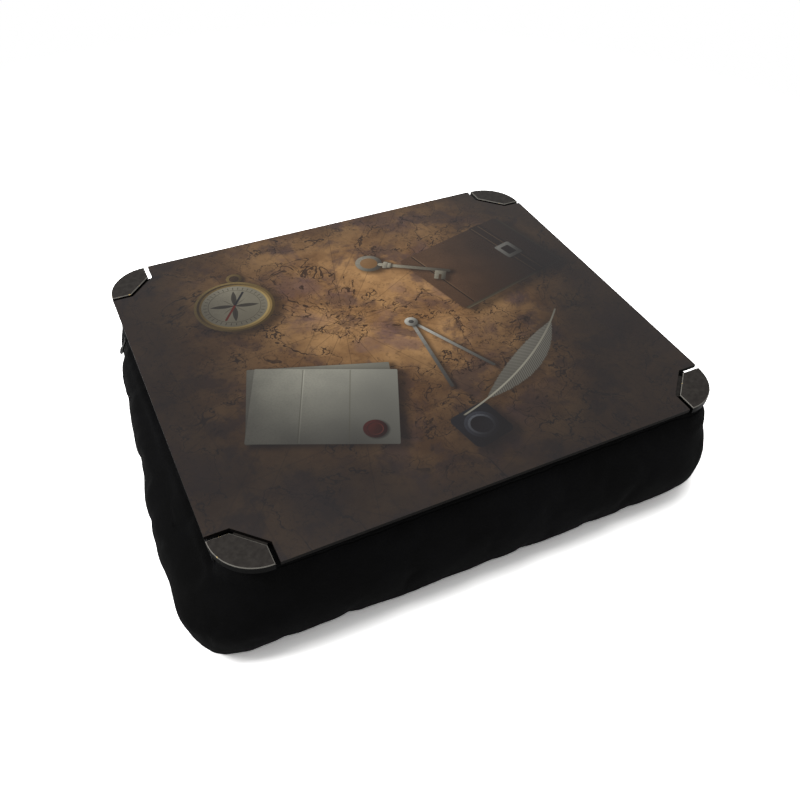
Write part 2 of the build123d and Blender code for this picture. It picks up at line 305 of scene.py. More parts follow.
settled = [vertex.co.copy() for vertex in cushion.data.vertices]
held = cushion.vertex_groups.new(name="held")
slack = cushion.vertex_groups.new(name="slack")
for vertex in cushion.data.vertices:
    slack.add([vertex.index], max(-vertex.normal.x, 0.0), "REPLACE")
    grip = max(
        fade(vertex.co.z, 1.5 * MM, 6 * MM),
        1 - fade(vertex.co.z, seam_height - 5 * MM, seam_height - 1 * MM),
        zip_closeness(vertex.co),
    )
    held.add([vertex.index], grip, "REPLACE")
cloth = cushion.modifiers.new("cloth", "CLOTH")
cloth.settings.quality = 5
cloth.settings.mass = 0.12
cloth.settings.tension_stiffness = 12
cloth.settings.compression_stiffness = 12
cloth.settings.shear_stiffness = 4
cloth.settings.bending_stiffness = 0.25
cloth.settings.vertex_group_mass = "held"
cloth.settings.pin_stiffness = 1.0
cloth.settings.vertex_group_shrink = "slack"
cloth.settings.shrink_min = -0.012
cloth.settings.shrink_max = -0.045
cloth.settings.use_pressure = True
cloth.settings.uniform_pressure_force = 3.0
cloth.settings.effector_weights.gravity = 0
last_step = 20
cloth.point_cache.frame_start = 1
cloth.point_cache.frame_end = last_step
for step in range(1, last_step + 1):
    scene.frame_set(step)
puffed = finished_mesh(cushion)
settled = [vertex.co.copy() for vertex in puffed.vertices]
cushion.modifiers.clear()
scene.frame_set(1)

# The cloth stays within a few millimetres of where it started, and above the floor.
# A hooked crease runs round the front left corner, and a small ear of the base seam sticks out below it.
# Each lump is a place, its height and its reach in millimetres.
most_travel = 6 * MM
crease_mm = ((-222, -88, 38), (-220, -112, 47), (-214, -138, 51), (-200, -156, 47))
crease = [Vector(point) * MM for point in crease_mm]
crease_lip = [point - Vector((0, 0, 8 * MM)) for point in crease]
crease_depth_mm = 3.4
crease_reach_mm = 3.6
lip_height_mm = 2.2
lip_reach_mm = 5
lumps = (
    ((-203, -167, 5), 3.0, 9),
    ((-225, -62, 46), 5.5, 30),
    ((-214, 40, 52), 2.5, 34),
    ((208, -170, 75), 5.0, 17),
    ((200, -188, 48), -2.5, 16),
    ((-212, 103, 46), 3.5, 22),
    ((-229, -120, 16), -3.5, 20),
    ((-215, -163, 5), 3.0, 13),
)
for vertex, place in zip(cushion.data.vertices, settled):
    travel = place - vertex.co
    if travel.length > most_travel:
        travel *= most_travel / travel.length
    target = vertex.co + travel
    from_crease = distance_along(target, crease) / MM
    from_lip = distance_along(target, crease_lip) / MM
    sculpted = lip_height_mm * math.exp(-((from_lip / lip_reach_mm) ** 2))
    sculpted -= crease_depth_mm * math.exp(-((from_crease / crease_reach_mm) ** 2))
    for lump, height, reach in lumps:
        sculpted += height * math.exp(-(((target / MM - Vector(lump)).length / reach) ** 2))
    sculpted += seam_draw(target, vertex.normal)
    target += vertex.normal * sculpted * MM
    target.z = min(max(target.z, 0.0), cushion_top)
    groove = zip_closeness(target)
    if groove > 0:
        deep = band_face + groove_rim + (groove_depth - groove_rim) * groove
        target.x = max(target.x, deep)
    clear_of_pull(target)
    vertex.co = target
lay_weave(cushion.data)
cushion.data.shade_smooth()

round_out = cushion.modifiers.new("round_out", "SUBSURF")
round_out.levels = 1
round_out.render_levels = 1

# Black polyester in a plain weave, dyed through: almost no colour, with a faint cool sheen at grazing angles.
cloth_material, tree = new_material("woven_black_polyester")
thread_pitch_mm = 0.8  # real threads lie about 0.4 mm apart, drawn twice as coarse so that they show
weave_uv = add_node(tree, "ShaderNodeUVMap", uv_map="weave").outputs[0]
weave_scale = 1 / (thread_pitch_mm * MM)
weave_mm = add_node(tree, "ShaderNodeMapping", {"Vector": weave_uv, "Scale": (weave_scale, weave_scale, 1)})
checks = add_node(tree, "ShaderNodeTexChecker", {"Vector": weave_mm.outputs[0], "Scale": 1.0})
thread_run = {"Vector": weave_mm.outputs[0], "Scale": 0.5, "Distortion": 0.6}
warp = add_node(tree, "ShaderNodeTexWave", thread_run, bands_direction="X")
weft = add_node(tree, "ShaderNodeTexWave", thread_run, bands_direction="Y")
threads = add_node(
    tree, "ShaderNodeMix", {0: checks.outputs["Fac"], 2: warp.outputs["Fac"], 3: weft.outputs["Fac"]}
)
place_on_cloth = add_node(tree, "ShaderNodeTexCoord").outputs["Object"]
lint_size = {"Vector": place_on_cloth, "Scale": 900, "Detail": 2, "Roughness": 0.5}
lint = add_node(tree, "ShaderNodeTexNoise", lint_size)
wear_size = {"Vector": place_on_cloth, "Scale": 14, "Detail": 4, "Roughness": 0.6}
wear = add_node(tree, "ShaderNodeTexNoise", wear_size)
cloth_tone = add_node(tree, "ShaderNodeValToRGB", {"Fac": wear.outputs["Fac"]})
set_stops(cloth_tone, ("#070707", 0.35), ("#0d0d0e", 0.7))
lint_range = {"Value": lint.outputs["Fac"], "From Min": 0.70, "From Max": 0.80}
lint_share = add_node(tree, "ShaderNodeMapRange", lint_range)
linted = add_node(
    tree,
    "ShaderNodeMix",
    {0: lint_share.outputs[0], 6: cloth_tone.outputs[0], 7: linear("#1b1b1d")},
    data_type="RGBA",
)
# The seams show as a fine, slightly wandering line where the two layers of cloth meet.
wander = add_node(tree, "ShaderNodeTexNoise", {"Vector": place_on_cloth, "Scale": 60, "Detail": 2})
cloth_height = add_node(tree, "ShaderNodeSeparateXYZ", {0: place_on_cloth}).outputs[2]
wandering = add_node(
    tree, "ShaderNodeMath", {0: wander.outputs["Fac"], 1: 1.6 * MM, 2: cloth_height}, operation="MULTIPLY_ADD"
).outputs[0]
off_seams = []
for seam in (base_seam_height, seam_height):
    above = add_node(tree, "ShaderNodeMath", {0: wandering, 1: seam + 0.8 * MM}, operation="SUBTRACT")
    off_seams.append(add_node(tree, "ShaderNodeMath", {0: above.outputs[0]}, operation="ABSOLUTE").outputs[0])
nearest_seam = add_node(
    tree, "ShaderNodeMath", {0: off_seams[0], 1: off_seams[1]}, operation="MINIMUM"
).outputs[0]
seam_gap = add_node(
    tree, "ShaderNodeMapRange", {"Value": nearest_seam, "From Max": 0.9 * MM}, interpolation_type="SMOOTHSTEP"
).outputs[0]
seam_bump = add_node(tree, "ShaderNodeBump", {"Height": seam_gap, "Strength": 0.9, "Distance": 0.9 * MM})
weave_bump = add_node(
    tree,
    "ShaderNodeBump",
    {"Height": threads.outputs[0], "Strength": 0.35, "Distance": 0.25 * MM, "Normal": seam_bump.outputs[0]},
)
cloth_shader = add_node(
    tree,
    "ShaderNodeBsdfPrincipled",
    {
        "Base Color": linted.outputs[2],
        "Roughness": 0.8,
        "Specular IOR Level": 0.035,
        "Sheen Weight": 0.005,
        "Sheen Roughness": 0.45,
        "Sheen Tint": linear("#9aa0a8"),
        "Normal": weave_bump.outputs[0],
    },
)
add_node(tree, "ShaderNodeOutputMaterial", {"Surface": cloth_shader.outputs[0]})
give_material(cushion, cloth_material)
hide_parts("cover_top", "cover_band", "cover_base", "inner_bag", "bead_filling")
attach(cushion, "cushion")


# Tray board: 3 mm hardboard, pressed wood fibre sawn to size, with dark painted edges.
# Its underside shows the fine screen pattern of the press.

board_material, tree = new_material("pressed_hardboard_dark_edge")
board_coordinates = add_node(tree, "ShaderNodeTexCoord").outputs
place_on_board = board_coordinates["Object"]
fibre_size = {"Vector": place_on_board, "Scale": 420, "Detail": 5, "Roughness": 0.65}
fibre = add_node(tree, "ShaderNodeTexNoise", fibre_size)
edge_tone = add_node(tree, "ShaderNodeValToRGB", {"Fac": fibre.outputs["Fac"]})
set_stops(edge_tone, ("#060505", 0.3), ("#110d0b", 0.75))
bare_tone = add_node(tree, "ShaderNodeValToRGB", {"Fac": fibre.outputs["Fac"]})
set_stops(bare_tone, ("#3a2819", 0.3), ("#6a4d33", 0.75))
facing = add_node(tree, "ShaderNodeSeparateXYZ", {0: board_coordinates["Normal"]}).outputs[2]
underside = add_node(
    tree, "ShaderNodeMapRange", {"Value": facing, "From Min": -0.5, "From Max": -0.8}
).outputs[0]
board_tone = add_node(
    tree, "ShaderNodeMix", {0: underside, 6: edge_tone.outputs[0], 7: bare_tone.outputs[0]}, data_type="RGBA"
)
# The press screen's wires are 1.6 mm apart.
wires = {"Vector": place_on_board, "Scale": 196}
wires_across = add_node(tree, "ShaderNodeTexWave", wires, bands_direction="X").outputs["Fac"]
wires_along = add_node(tree, "ShaderNodeTexWave", wires, bands_direction="Y").outputs["Fac"]
screen = add_node(tree, "ShaderNodeMath", {0: wires_across, 1: wires_along}, operation="MULTIPLY")
pressed_screen = add_node(tree, "ShaderNodeMath", {0: screen.outputs[0], 1: underside}, operation="MULTIPLY")
screen_bump = add_node(
    tree, "ShaderNodeBump", {"Height": pressed_screen.outputs[0], "Strength": 0.5, "Distance": 0.3 * MM}
)
fibre_bump = add_node(
    tree,
    "ShaderNodeBump",
    {"Height": fibre.outputs["Fac"], "Strength": 0.3, "Distance": 0.1 * MM, "Normal": screen_bump.outputs[0]},
)
board_shader = add_node(
    tree,
    "ShaderNodeBsdfPrincipled",
    {
        "Base Color": board_tone.outputs[2],
        "Roughness": 0.62,
        "Specular IOR Level": 0.1,
        "Normal": fibre_bump.outputs[0],
    },
)
add_node(tree, "ShaderNodeOutputMaterial", {"Surface": board_shader.outputs[0]})
give_material(nodes["tray_board"], board_material)


# Printed film: a satin laminate, printed by offset with an old chart and a few keepsakes, glued on the board.
# Every motif is a plain shape, drawn in millimetres from the tray's middle.

film_material, tree = new_material("satin_laminated_offset_print")
place_on_film = add_node(tree, "ShaderNodeTexCoord").outputs["Object"]
to_page = {
    "Vector": place_on_film,
    "Location": (-tray_middle.x / MM, -tray_middle.y / MM, 0),
    "Scale": (1 / MM, 1 / MM, 0),
}
page = add_node(tree, "ShaderNodeMapping", to_page).outputs[0]


def clouds(size_mm, detail, roughness, warp=0.0, shift=0.0):
    """Cloudy pattern on the page, with patches about size_mm across."""
    moved = add_node(tree, "ShaderNodeMapping", {"Vector": page, "Location": (shift, shift * 0.7, 0)})
    inputs = {
        "Vector": moved.outputs[0],
        "Scale": 1 / size_mm,
        "Detail": detail,
        "Roughness": roughness,
        "Distortion": warp,
    }
    return add_node(tree, "ShaderNodeTexNoise", inputs).outputs["Fac"]


def from_level(pattern, level):
    """How far a pattern is from a level, so that 0 draws a contour line."""
    above = add_node(tree, "ShaderNodeMath", {0: pattern, 1: level}, operation="SUBTRACT").outputs[0]
    return add_node(tree, "ShaderNodeMath", {0: above}, operation="ABSOLUTE").outputs[0]


def lay_ink(below, ink, value, full, none, strength=1.0, where=None):
    """Prints an ink over what is below: at its strength where a value is at full, and fading out to none."""
    inputs = {"Value": value, "From Min": full, "From Max": none, "To Min": strength, "To Max": 0.0}
    share = add_node(tree, "ShaderNodeMapRange", inputs, interpolation_type="SMOOTHSTEP").outputs[0]
    if where is not None:
        share = add_node(tree, "ShaderNodeMath", {0: share, 1: where}, operation="MULTIPLY").outputs[0]
    return add_node(tree, "ShaderNodeMix", {0: share, 6: below, 7: ink}, data_type="RGBA").outputs[2]


def bar_on_page(place, half, radius, turn):
    """Distance in millimetres outside a bar, given by its middle, half lengths, corner radius and turn."""
    inputs = {"Vector": page, "Location": (*place, 0), "Rotation": (0, 0, math.radians(turn))}
    local = add_node(tree, "ShaderNodeMapping", inputs, vector_type="TEXTURE").outputs[0]
    folded = add_node(tree, "ShaderNodeVectorMath", {0: local}, operation="ABSOLUTE").outputs[0]
    beyond = add_node(tree, "ShaderNodeVectorMath", {0: folded, 1: (*half, 0)}, operation="SUBTRACT")
    outside = add_node(
        tree, "ShaderNodeVectorMath", {0: beyond.outputs[0], 1: (0, 0, 0)}, operation="MAXIMUM"
    ).outputs[0]
    reach = add_node(tree, "ShaderNodeVectorMath", {0: outside}, operation="LENGTH").outputs["Value"]
    return add_node(tree, "ShaderNodeMath", {0: reach, 1: radius}, operation="SUBTRACT").outputs[0]


def round_the_place(place, turn):
    """A motif's own right and up, with its bearing in radians and its distance from its middle."""
    inputs = {"Vector": page, "Location": (*place, 0), "Rotation": (0, 0, math.radians(turn))}
    local = add_node(tree, "ShaderNodeMapping", inputs, vector_type="TEXTURE").outputs[0]
    parts = add_node(tree, "ShaderNodeSeparateXYZ", {0: local}).outputs
    bearing = add_node(tree, "ShaderNodeMath", {0: parts[1], 1: parts[0]}, operation="ARCTAN2").outputs[0]
    reach = add_node(tree, "ShaderNodeVectorMath", {0: local}, operation="LENGTH").outputs["Value"]
    return parts[0], parts[1], bearing, reach


def spokes(bearing, count):
    """0 along each of an even number of spokes, rising to 1 between them."""
    turned = add_node(tree, "ShaderNodeMath", {0: bearing, 1: count / 2}, operation="MULTIPLY").outputs[0]
    wave = add_node(tree, "ShaderNodeMath", {0: turned}, operation="SINE").outputs[0]
    return add_node(tree, "ShaderNodeMath", {0: wave}, operation="ABSOLUTE").outputs[0]


# The chart's paper: tan parchment with plum-brown patches and fine mottling.
chart_ink = linear("#2b1c12")
parchment = add_node(tree, "ShaderNodeValToRGB", {"Fac": clouds(60, 6, 0.6)})
set_stops(parchment, ("#6b4c2f", 0.36), ("#ab8458", 0.66))
picture = parchment.outputs[0]
picture = lay_ink(picture, linear("#4d3a35"), clouds(38, 7, 0.62, 0.3, 83.0), 0.62, 0.50, 0.75)
picture = lay_ink(picture, linear("#5c4648"), clouds(64, 5, 0.6, 0.2, 151.0), 0.66, 0.50, 0.6)
picture = lay_ink(picture, linear("#3c2a1d"), clouds(7, 6, 0.7, 0.4, 31.0), 0.66, 0.52, 0.4)

# Coasts, islands and lakes: contour lines of slow patterns, with a paler sea line outside each coast.
coast = clouds(74, 5, 0.55, 0.5, 41.0)
islands = clouds(21, 2.5, 0.5, 0.9, 12.0)
archipelago = clouds(95, 1, 0.5, 0.0, 64.0)
picture = lay_ink(picture, linear("#5b3f28"), coast, 0.54, 0.50, 0.35)
island_sea = add_node(
    tree, "ShaderNodeMapRange", {"Value": archipelago, "From Min": 0.47, "From Max": 0.53}
).outputs[0]
inland = add_node(tree, "ShaderNodeMapRange", {"Value": coast, "From Min": 0.49, "From Max": 0.51}).outputs[0]
picture = lay_ink(picture, chart_ink, from_level(coast, 0.50), 0.0022, 0.0062, 0.9)
picture = lay_ink(picture, chart_ink, from_level(coast, 0.488), 0.0006, 0.0026, 0.45)
picture = lay_ink(picture, chart_ink, from_level(coast, 0.474), 0.0004, 0.0022, 0.3)
picture = lay_ink(picture, chart_ink, from_level(islands, 0.60), 0.0035, 0.0125, 0.85, island_sea)
picture = lay_ink(picture, chart_ink, from_level(islands, 0.54), 0.0015, 0.0080, 0.45, island_sea)
rivers = from_level(clouds(44, 5, 0.55, 0.3, 97.0), 0.5)
picture = lay_ink(picture, chart_ink, rivers, 0.0012, 0.0042, 0.6, inland)
hills = clouds(3.4, 3, 0.6, 0.9, 13.0)
picture = lay_ink(picture, chart_ink, hills, 0.34, 0.42, 0.55, inland)

# Rays from three crossing points, as on a sailing chart.
for place, ray_count, strength in (((-38, 28), 16, 0.4), ((150, -96), 16, 0.3), ((-178, -110), 8, 0.25)):
    right, up, bearing, reach = round_the_place(place, 6)
    swing = add_node(
        tree, "ShaderNodeMath", {0: spokes(bearing, ray_count), 1: reach}, operation="MULTIPLY"
    ).outputs[0]
    picture = lay_ink(picture, chart_ink, swing, 1.0, 4.0, strength)

# The keepsakes: a middle and a turn for each.
letter = ((-92, -58), -24)
book = ((122, 66), 14)
compass = ((-118, 92), -14)
inkwell = ((12, -128), 12)
key = ((20, 104), -32)
quill = ((92, -74), 33)
divider = ((18, 8), -64)


def on_motif(motif, right, up):
    """A place on the page, from a place on a turned motif."""
    (x, y), turn = motif
    cos_turn = math.cos(math.radians(turn))
    sin_turn = math.sin(math.radians(turn))
    return (x + right * cos_turn - up * sin_turn, y + right * sin_turn + up * cos_turn)


# Each row is a place, half lengths, corner radius, turn, lit ink, shaded ink and the reach of its shadow.
keepsakes = [
    # folded letter: two sheets, creases, a wax seal
    (on_motif(letter, -3, 4), (58, 41), 1.2, letter[1] + 5, "#8d8b7f", "#6f6d63", 6),
    (letter[0], (58, 41), 1.2, letter[1], "#a9a799", "#84837a", 8),
    (on_motif(letter, -19, 0), (0.2, 41), 0.3, letter[1], "#6d6b60", "#8b897c", 0),
    (on_motif(letter, -18.2, 0), (0.1, 41), 0.3, letter[1], "#c0beaf", "#a5a396", 0),
    (on_motif(letter, 20, 0), (0.2, 41), 0.3, letter[1], "#6d6b60", "#8b897c", 0),
    (on_motif(letter, 40, -26), (0, 0), 9.5, 0, "#6a2c24", "#33110e", 2),
    (on_motif(letter, 40, -26), (0, 0), 6.6, 0, "#3c1512", "#7b3a2f", 0),
    (on_motif(letter, 40, -26), (0, 0), 5.8, 0, "#6a2c22", "#45180f", 0),
    # leather notebook: page edges, cover, spine, stitched band and clasp
    (on_motif(book, 2.4, -3), (62, 44), 2.0, book[1], "#93876c", "#5d5340", 10),
    (book[0], (61, 43), 3.0, book[1], "#5a4230", "#33241a", 3),
    (on_motif(book, -50, 0), (0.3, 44), 0.3, book[1], "#21160f", "#150e09", 0),
    (on_motif(book, -48.8, 0), (0.2, 44), 0.3, book[1], "#7a6048", "#4c3828", 0),
    (on_motif(book, 36, 0), (6, 46), 1.0, book[1], "#3a291e", "#21160f", 2),
    (on_motif(book, 31.5, 0), (0.2, 45), 0.2, book[1], "#8d7357", "#5f4a36", 0),
    (on_motif(book, 40.5, 0), (0.2, 45), 0.2, book[1], "#8d7357", "#5f4a36", 0),
    (on_motif(book, 36, -4), (7.5, 9), 2.0, book[1], "#aba9a1", "#55534e", 2),
    (on_motif(book, 36, -4), (4.0, 5.5), 1.0, book[1], "#2a1d14", "#17100b", 0),
    # pocket compass: brass bow, case and pale dial
    (on_motif(compass, 2, 41), (0, 0), 7.5, 0, "#a08652", "#4c3c20", 4),
    (on_motif(compass, 2, 41), (0, 0), 4.6, 0, "#54402a", "#3a2b1b", 0),
    (compass[0], (0, 0), 36, 0, "#b0965e", "#4f3e20", 9),
    (compass[0], (0, 0), 33.6, 0, "#3c2e18", "#8f7646", 0),
    (compass[0], (0, 0), 31.4, 0, "#8a7142", "#b39a63", 0),
    (compass[0], (0, 0), 29.5, 0, "#b3ac97", "#7f7968", 0),
    # inkwell seen from above: square foot, glass shoulder, ink
    (inkwell[0], (13, 13), 6, inkwell[1], "#2a2c33", "#101013", 9),
    (inkwell[0], (0, 0), 14, 0, "#565b66", "#1b1c22", 0),
    (inkwell[0], (0, 0), 11, 0, "#8a8f98", "#2e3036", 0),
    (inkwell[0], (0, 0), 9, 0, "#0b0b10", "#1d1e26", 0),
    # old key: bow, collar, shaft and bit
    (key[0], (0, 0), 13, 0, "#8c8678", "#3c3832", 6),
    (key[0], (0, 0), 8.4, 0, "#7d5f40", "#6b4f31", 0),
    (on_motif(key, 44, 0), (33, 0), 2.3, key[1], "#97907f", "#423d35", 5),
    (on_motif(key, 16, 0), (1.2, 4.2), 1.0, key[1], "#a9a290", "#4a453c", 3),
    (on_motif(key, 20, 0), (0.8, 3.2), 0.8, key[1], "#a9a290", "#4a453c", 2),
    (on_motif(key, 70, -8), (4.6, 6), 0.8, key[1], "#8c8676", "#3a362f", 5),
    (on_motif(key, 70, -11), (1.0, 3.5), 0.3, key[1], "#4a3928", "#3a2c1e", 0),
    # dividers: two legs from a round joint
    (on_motif(divider, 44, 0), (44, 0), 1.6, divider[1], "#a9a79f", "#504e49", 4),
    (on_motif((divider[0], -94), 44, 0), (44, 0), 1.6, -94, "#8f8d86", "#3f3d39", 4),
    (divider[0], (0, 0), 6.0, 0, "#b3b1a8", "#4c4a45", 3),
    (divider[0], (0, 0), 2.4, 0, "#4b4945", "#2c2a28", 0),
]
paper_grain = clouds(1.8, 3, 0.6, 0.0, 23.0)
soft_grain = clouds(26, 3, 0.5, 0.0, 5.0)
to_light = (-0.70, 0.71)
light_from_back_left = add_node(
    tree, "ShaderNodeVectorMath", {0: page, 1: (*to_light, 0)}, operation="DOT_PRODUCT"
).outputs["Value"]
shadow_ink = linear("#140d08")
for place, half, radius, turn, lit_ink, shaded_ink, shadow in keepsakes:
    if shadow:
        shadow_place = (place[0] + shadow * 0.5, place[1] - shadow * 0.6)
        around = bar_on_page(shadow_place, half, radius, turn)
        picture = lay_ink(picture, shadow_ink, around, -shadow * 0.5, shadow, 0.75)
    size = max(half) + radius
    middle = to_light[0] * place[0] + to_light[1] * place[1]
    ink = lay_ink(linear(shaded_ink), linear(lit_ink), light_from_back_left, middle + size, middle - size)
    ink = lay_ink(ink, linear(shaded_ink), paper_grain, 0.30, 0.62, 0.30)
    ink = lay_ink(ink, linear(shaded_ink), soft_grain, 0.35, 0.60, 0.30)
    picture = lay_ink(picture, ink, bar_on_page(place, half, radius, turn), -0.3, 0.35)

# The compass's rose, degree ring and needle.
right, up, bearing, reach = round_the_place(*compass)
for point_count, long_reach, ink, strength in ((8, 15, "#6b6454", 0.7), (4, 22, "#2b2823", 0.85)):
    star = add_node(
        tree, "ShaderNodeMath", {0: spokes(bearing, point_count), 1: 26.0, 2: reach}, operation="MULTIPLY_ADD"
    ).outputs[0]
    picture = lay_ink(picture, linear(ink), star, long_reach - 0.5, long_reach + 0.5, strength)
degree_ring = add_node(
    tree,
    "ShaderNodeMapRange",
    {"Value": from_level(reach, 26.0), "From Min": 1.9, "From Max": 1.4},
).outputs[0]
picture = lay_ink(picture, linear("#3a352c"), spokes(bearing, 36), 0.12, 0.3, 0.9, degree_ring)
picture = lay_ink(picture, linear("#5a5343"), from_level(reach, 23.4), 0.1, 0.5, 0.8)
for right_mm, ink in ((10.5, "#23262b"), (-10.5, "#7a2c20")):
    needle = bar_on_page(on_motif((compass[0], 52), right_mm, 0), (10.5, 0.2), 0.8, 52)
    picture = lay_ink(picture, linear(ink), needle, -0.3, 0.4)

# The quill: a bent vane of fine barbs on a pale shaft.
along, off, bearing, reach = round_the_place(*quill)
bend = add_node(tree, "ShaderNodeMath", {0: along, 1: along}, operation="MULTIPLY").outputs[0]
side = add_node(tree, "ShaderNodeMath", {0: bend, 1: -0.0016, 2: off}, operation="MULTIPLY_ADD").outputs[0]
off_shaft = add_node(tree, "ShaderNodeMath", {0: side}, operation="ABSOLUTE").outputs[0]
vane_half = 62
tip_inputs = {0: along, 1: 1 / vane_half, 2: 8 / vane_half}
tip_share = add_node(tree, "ShaderNodeMath", tip_inputs, operation="MULTIPLY_ADD").outputs[0]
tip_square = add_node(tree, "ShaderNodeMath", {0: tip_share, 1: tip_share}, operation="MULTIPLY").outputs[0]
narrowing = {0: tip_square, 1: 12.5, 2: off_shaft}
narrowed = add_node(tree, "ShaderNodeMath", narrowing, operation="MULTIPLY_ADD").outputs[0]
raggedness = {0: paper_grain, 1: 3.0, 2: narrowed}
ragged = add_node(tree, "ShaderNodeMath", raggedness, operation="MULTIPLY_ADD").outputs[0]
barb_slant = {0: off_shaft, 1: 0.9, 2: along}
barb_place = add_node(tree, "ShaderNodeMath", barb_slant, operation="MULTIPLY_ADD").outputs[0]
barbs = add_node(tree, "ShaderNodeMath", {0: barb_place, 1: 1.25}, operation="PINGPONG").outputs[0]
vane_ink = lay_ink(linear("#bdb9ab"), linear("#777368"), barbs, 0.0, 1.25)
vane_ink = lay_ink(vane_ink, linear("#4e4a42"), along, -60.0, 70.0, 0.5)
picture = lay_ink(picture, shadow_ink, narrowed, 8.0, 22.0, 0.5)
picture = lay_ink(picture, vane_ink, ragged, 13.2, 14.4)
shaft_length = add_node(
    tree, "ShaderNodeMapRange", {"Value": from_level(along, -12.0), "From Min": 84.0, "From Max": 82.0}
).outputs[0]
picture = lay_ink(picture, linear("#cfcab6"), off_shaft, 0.5, 1.1, 1.0, shaft_length)

# Lamplight in the picture: brightest behind the middle, and dark towards the near and side edges.
from_glow = add_node(
    tree,
    "ShaderNodeMapping",
    {"Vector": page, "Location": (4, 46, 0), "Scale": (200, 222, 1)},
    vector_type="TEXTURE",
)
glow_reach = add_node(tree, "ShaderNodeVectorMath", {0: from_glow.outputs[0]}, operation="LENGTH")
unevenness = {0: clouds(120, 2, 0.5, 0.0, 7.0), 1: 0.5, 2: glow_reach.outputs["Value"]}
uneven = add_node(tree, "ShaderNodeMath", unevenness, operation="MULTIPLY_ADD").outputs[0]
picture = lay_ink(picture, linear("#1f1d1e"), uneven, 1.30, 0.30, 0.95)

smudges = clouds(55, 5, 0.6, 0.0, 71.0)
film_gloss = {"Value": smudges, "From Min": 0.3, "From Max": 0.7, "To Min": 0.24, "To Max": 0.36}
film_roughness = add_node(tree, "ShaderNodeMapRange", film_gloss)
film_shader = add_node(
    tree,
    "ShaderNodeBsdfPrincipled",
    {"Base Color": picture, "Roughness": film_roughness.outputs[0], "Specular IOR Level": 0.09},
)
add_node(tree, "ShaderNodeOutputMaterial", {"Surface": film_shader.outputs[0]})
give_material(nodes["printed_film"], film_material)


# Corner pieces: dark ABS, injection moulded, with a narrow bevel round the top face, each held by a screw and
# a lug. The bevel carries a painted pale highlight and small painted gold glints, and the face has the faint
# flow of moulded plastic.

corner_material, tree = new_material("moulded_abs_dark_grey")
corner_coordinates = add_node(tree, "ShaderNodeTexCoord").outputs
facing_up = add_node(tree, "ShaderNodeSeparateXYZ", {0: corner_coordinates["Normal"]}).outputs[2]
place_on_corner = corner_coordinates["Object"]
grain_size = {"Vector": place_on_corner, "Scale": 260, "Detail": 4, "Roughness": 0.6}
grain = add_node(tree, "ShaderNodeTexNoise", grain_size).outputs["Fac"]
# Noise that places the small painted gold glints on the bevel.
glint_speck_size = {"Vector": place_on_corner, "Scale": 330, "Detail": 2, "Roughness": 0.5}
glint_specks = add_node(tree, "ShaderNodeTexNoise", glint_speck_size).outputs["Fac"]
corner_tone = add_node(tree, "ShaderNodeValToRGB", {"Fac": grain})
set_stops(corner_tone, ("#282523", 0.35), ("#34312e", 0.7))
# Painted shade: the skirt is painted near black and the top face paler, by which way each face looks.
top_tone_and_skirt_shade = lay_ink(linear("#040404"), corner_tone.outputs[0], facing_up, 0.95, 0.75)
bevel_facing_up = 0.707  # the bevel slopes at 45 degrees
off_bevel = from_level(facing_up, bevel_facing_up)
# Painted highlight: the bevel is painted pale grey, with painted gold glints on it.
bevel_highlight_and_glints = lay_ink(top_tone_and_skirt_shade, linear("#77746e"), off_bevel, 0.10, 0.16, 0.9)
bevel_highlight_and_glints = lay_ink(bevel_highlight_and_glints, linear("#c9b17a"), glint_specks, 0.70, 0.66, 0.8)
on_bevel = add_node(tree, "ShaderNodeMapRange", {"Value": off_bevel, "From Min": 0.16, "From Max": 0.10})
bevel_or_face = {0: on_bevel.outputs[0], 6: top_tone_and_skirt_shade, 7: bevel_highlight_and_glints}
corner_colour = add_node(tree, "ShaderNodeMix", bevel_or_face, data_type="RGBA").outputs[2]
flow_size = {"Vector": place_on_corner, "Scale": 40, "Detail": 3, "Roughness": 0.5}
flow = add_node(tree, "ShaderNodeTexNoise", flow_size).outputs["Fac"]
corner_bump = add_node(tree, "ShaderNodeBump", {"Height": flow, "Strength": 0.12, "Distance": 0.3 * MM})
corner_roughness = add_node(tree, "ShaderNodeMapRange", {"Value": grain, "To Min": 0.24, "To Max": 0.40})
corner_shader = add_node(
    tree,
    "ShaderNodeBsdfPrincipled",
    {
        "Base Color": corner_colour,
        "Roughness": corner_roughness.outputs[0],
        "Specular IOR Level": 0.035,
        "Normal": corner_bump.outputs[0],
    },
)
add_node(tree, "ShaderNodeOutputMaterial", {"Surface": corner_shader.outputs[0]})
corners = ("front_left", "front_right", "back_left", "back_right")
for corner in corners:
    give_material(nodes["corner_piece_" + corner], corner_material)


# Hook-and-loop pads: woven nylon tape sewn to the cushion and glued to the board.
# The hook side is a field of stiff little hooks, and the loop side a soft brushed pile.

loop_material, tree = new_material("brushed_nylon_loop_pile")
place_on_pile = add_node(tree, "ShaderNodeTexCoord").outputs["Object"]
pile_size = {"Vector": place_on_pile, "Scale": 1400, "Detail": 5, "Roughness": 0.75}
pile = add_node(tree, "ShaderNodeTexNoise", pile_size)
pile_tone = add_node(tree, "ShaderNodeValToRGB", {"Fac": pile.outputs["Fac"]})
set_stops(pile_tone, ("#0b0b0c", 0.35), ("#222224", 0.75))
pile_depth = {"Height": pile.outputs["Fac"], "Strength": 0.9, "Distance": 0.6 * MM}
pile_bump = add_node(tree, "ShaderNodeBump", pile_depth)
loop_shader = add_node(
    tree,
    "ShaderNodeBsdfPrincipled",
    {
        "Base Color": pile_tone.outputs[0],
        "Roughness": 0.9,
        "Specular IOR Level": 0.1,
        "Sheen Weight": 0.04,
        "Normal": pile_bump.outputs[0],
    },
)
add_node(tree, "ShaderNodeOutputMaterial", {"Surface": loop_shader.outputs[0]})

